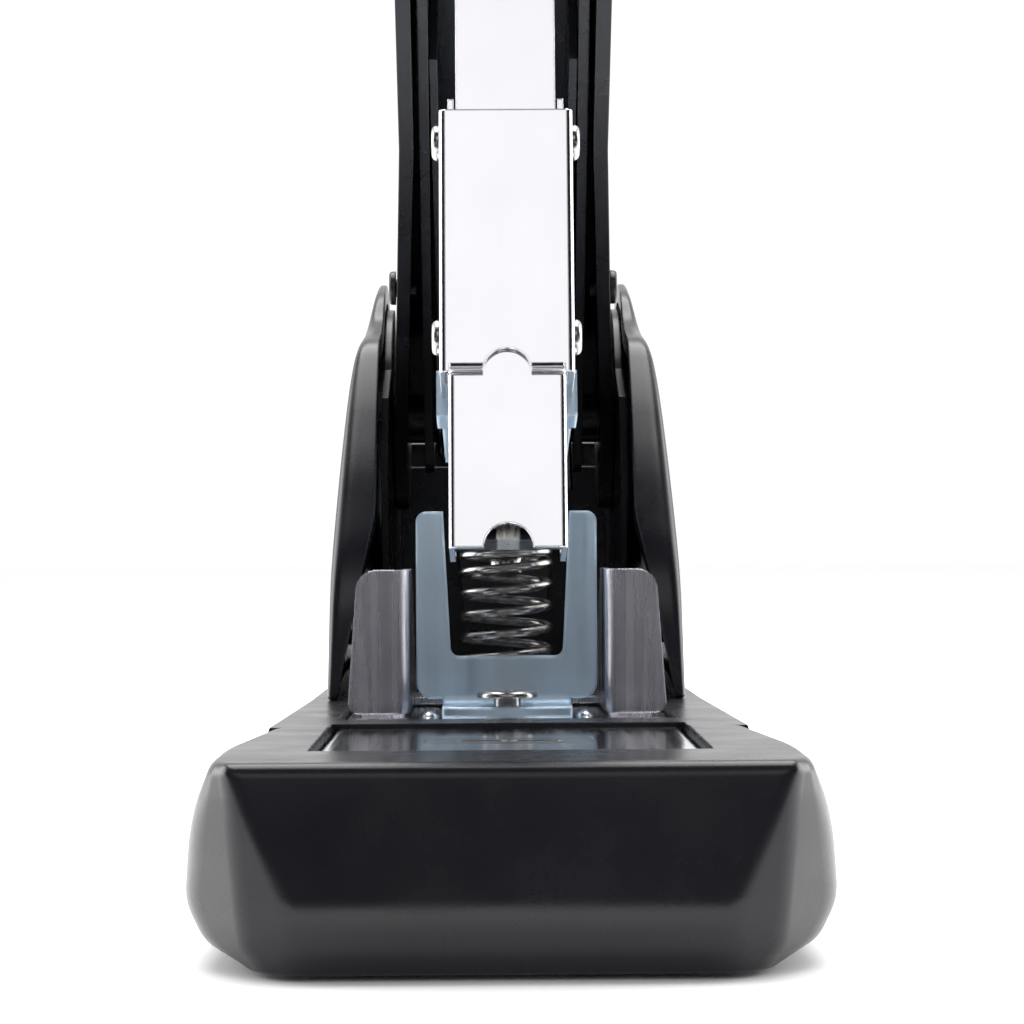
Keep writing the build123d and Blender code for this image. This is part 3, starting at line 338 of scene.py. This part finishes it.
def rounded_line(points, blends, steps=8):
    """The open line with its inner corners rounded. A blend starts that far from its corner."""
    line = [points[0]]
    for before, corner, after, blend in zip(points, points[1:], points[2:], blends):
        start = corner + (before - corner) * min(0.49, blend / max((before - corner).length, 1e-6))
        end = corner + (after - corner) * min(0.49, blend / max((after - corner).length, 1e-6))
        for step in range(steps + 1):
            t = step / steps
            line.append(start * (1 - t) ** 2 + corner * 2 * t * (1 - t) + end * t * t)
    line.append(points[-1])
    return line


def make_piece(name, vertices, faces, slot_name, body):
    """A smooth mesh in the slot's material, riding on the body."""
    mesh = bpy.data.meshes.new(name)
    mesh.from_pydata(vertices, [], faces)
    piece = bpy.data.objects.new(name, mesh)
    scene.collection.objects.link(piece)
    for polygon in mesh.polygons:
        polygon.use_smooth = True
    mesh.materials.append(SLOT_MATERIAL[slot_name])
    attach(piece, body)
    return piece


def make_nose():
    """The nose with blended corners and a flowing chamfer along its foot."""
    rings = []
    for height, *outline in NOSE_RINGS:
        half = [Vector((0.0, outline[0][1], height))] + [Vector((x, y, height)) for x, y in outline]
        right = rounded_line(half, CORNER_BLENDS)
        left = [Vector((-point.x, point.y, point.z)) for point in reversed(right[1:])]
        rings.append(left + right)
    columns = [rounded_line(column, RING_BLENDS) for column in zip(*rings)]
    depth = len(columns[0])
    vertices = [point * MM for column in columns for point in column]
    faces = []
    for column in range(len(columns) - 1):
        for row in range(depth - 1):
            first = column * depth + row
            faces.append((first, first + depth, first + depth + 1, first + 1))
    nose = make_piece("nose_cover", vertices, faces, "black_plastic", "base")
    weighted = nose.modifiers.new("even_normals", "WEIGHTED_NORMAL")
    weighted.keep_sharp = True
    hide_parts("front_cover")


# ---------------------------------------------------------------- side shells
# The shell's edge as seen from the side, (y, z) in millimetres, with how far each corner is blended.
SHELL_EDGE = [((74, 22.8), 0.8), ((75.5, 41), 7), ((84, 56), 6), ((93, 69), 5), ((100, 76.5), 4),
              ((116, 79.8), 6), ((123, 85.6), 3.5), ((135, 88.9), 6), ((147, 85.6), 6), ((203, 42), 6),
              ((211, 34), 6), ((213, 22.8), 0.8)]
# At each height, how far the outside stands from the middle plane.
SHELL_SIDE = [(22.8, 25.9), (41, 25.4), (57, 24.4), (70, 23.3), (75, 22.6), (79.5, 21.6), (84, 20.9),
              (89, 20.3)]
SHELL_INSIDE = 19.0
SHELL_FOOT = Vector((0, 140, 22.8))
# The rim runs round a spine at this height, between these two places along the shell.
SPINE_HEIGHT = 36
SPINE_ENDS = (98, 188)
TAPER_START = 191
TAPER = 0.2
RIM_BLENDS = (0.3, 2.8)


def smooth_value(table, place):
    """The value at a place of a curve that runs smoothly through the table's points."""
    if place <= table[0][0]:
        return table[0][1]
    if place >= table[-1][0]:
        return table[-1][1]
    slopes = []
    for index in range(len(table)):
        before = table[max(index - 1, 0)]
        after = table[min(index + 1, len(table) - 1)]
        slopes.append((after[1] - before[1]) / (after[0] - before[0]))
    index = max(i for i in range(len(table) - 1) if table[i][0] <= place)
    (low, start), (high, end) = table[index], table[index + 1]
    span = high - low
    t = (place - low) / span
    return ((2 * t ** 3 - 3 * t ** 2 + 1) * start + (t ** 3 - 2 * t ** 2 + t) * span * slopes[index]
            + (3 * t ** 2 - 2 * t ** 3) * end + (t ** 3 - t ** 2) * span * slopes[index + 1])


def divided(line, longest):
    """The same line with its long stretches cut into short ones."""
    points = [line[0]]
    for start, end in zip(line, line[1:]):
        parts = max(1, math.ceil((end - start).length / longest))
        points += [start.lerp(end, part / parts) for part in range(1, parts + 1)]
    return points


def on_shell(place):
    """The place moved out to the outside of the shell, which tapers towards the rear."""
    taper = TAPER * max(0.0, place.y - TAPER_START)
    return Vector((smooth_value(SHELL_SIDE, place.z) - taper, place.y, place.z))


def make_shell(side, name, node):
    """A side cover: a broad rounded rim round a side that curls inward towards the ear."""
    corners = [Vector((0, y, z)) for (y, z), _ in SHELL_EDGE]
    blends = [blend for _, blend in SHELL_EDGE]
    edge = divided(rounded_line([SHELL_FOOT, *corners, SHELL_FOOT], blends), 2.5)[:-1]
    columns = []
    for point in edge:
        heart = Vector((0, min(max(point.y, SPINE_ENDS[0]), SPINE_ENDS[1]), SPINE_HEIGHT))
        inward = (heart - point).normalized()
        inner = Vector((SHELL_INSIDE + max(0.0, 50 - point.z) * 0.2, 0, 0))
        rim = [inner + point + inward * 3.0, inner + point, on_shell(point), on_shell(point + inward * 4.5)]
        line = rounded_line(rim, RIM_BLENDS)
        line += [on_shell(point.lerp(heart, share)) for share in (0.35, 0.5, 0.65, 0.8, 0.9, 1.0)]
        columns.append(line)
    depth = len(columns[0])
    vertices = [Vector((side * p.x, p.y, p.z)) * MM for column in columns for p in column]
    faces = []
    for column in range(len(columns)):
        following = (column + 1) % len(columns)
        for row in range(depth - 1):
            faces.append((column * depth + row, following * depth + row,
                          following * depth + row + 1, column * depth + row + 1))
    shell = make_piece(name, vertices, faces, "black_plastic", "base")
    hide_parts(node)


# ---------------------------------------------------------------- springs
STEPS_PER_TURN = 40
SIDES_OF_WIRE = 14


def make_coil(name, start, way, across, length, radius, wire, turns, slot_name, body):
    """A compression spring: closed end coils, and an even pitch between them."""
    other = way.cross(across)
    steps = int(turns * STEPS_PER_TURN)
    centres = []
    for step in range(steps + 1):
        share = step / steps
        turn = share * turns
        closed_low = min(turn, 1.0)
        closed_high = min(turns - turn, 1.0)
        rise = wire * closed_low + wire * (1.0 - closed_high)
        middle = max(0.0, min(turn, turns - 1.0) - 1.0) / (turns - 2.0)
        rise += middle * (length - 3.0 * wire)
        angle = turn * math.tau
        spoke = across * math.cos(angle) + other * math.sin(angle)
        centres.append(start + way * (rise + wire / 2) + spoke * radius)
    vertices = []
    for step, centre in enumerate(centres):
        before = centres[max(step - 1, 0)]
        after = centres[min(step + 1, steps)]
        along = (after - before).normalized()
        axis_point = start + way * (centre - start).dot(way)
        out = (centre - axis_point).normalized()
        side = along.cross(out).normalized()
        for corner in range(SIDES_OF_WIRE):
            angle = corner / SIDES_OF_WIRE * math.tau
            vertices.append(centre + (out * math.cos(angle) + side * math.sin(angle)) * wire / 2)
    faces = []
    for step in range(steps):
        for corner in range(SIDES_OF_WIRE):
            following = (corner + 1) % SIDES_OF_WIRE
            ring = step * SIDES_OF_WIRE
            faces.append((ring + corner, ring + following,
                          ring + SIDES_OF_WIRE + following, ring + SIDES_OF_WIRE + corner))
    faces.append(tuple(reversed(range(SIDES_OF_WIRE))))
    faces.append(tuple(steps * SIDES_OF_WIRE + corner for corner in range(SIDES_OF_WIRE)))
    return make_piece(name, vertices, faces, slot_name, body)


def make_return_spring():
    """The spring under the magazine, which on the stapler closes up when the magazine comes down; here it
    is one rigid coil riding on the base.
    """
    low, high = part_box("return_spring")
    middle = (low + high) / 2
    up = Vector((0, 0, 1))
    foot = Vector((middle.x, middle.y, low.z))
    wire = 1.25 * MM
    spring = make_coil("return_coil", foot, up, Vector((0, -1, 0)), high.z - low.z,
                       (high.y - low.y - wire) / 2, wire, 8.4, "spring_steel", "base")
    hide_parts("return_spring")
    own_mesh(spring)


def make_pusher_spring():
    """The spring behind the pusher, along the tilted magazine, as one rigid coil riding on the magazine;
    neither end moves with the pusher.
    """
    joints = {joint["name"]: joint for joint in frame["record"]["behaviour"]["joints"]}
    back = Vector(joints["pusher_slide"]["axis"]).normalized()
    low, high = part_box("pusher_spring")
    half = (high.x - low.x) / 2
    start = Vector((0, low.y - half * back.z, high.z - half * back.y))
    end = Vector((0, high.y + half * back.z, low.z + half * back.y))
    wire = 0.6 * MM
    spring = make_coil("pusher_coil", start, back, Vector((1, 0, 0)), (end - start).length,
                       half - wire / 2, wire, 19.5, "spring_steel", "magazine")
    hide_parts("pusher_spring")
    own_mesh(spring)


make_nose()
make_shell(1, "shell_right", "side_shell_right")
make_shell(-1, "shell_left", "side_shell_left")
make_return_spring()
make_pusher_spring()
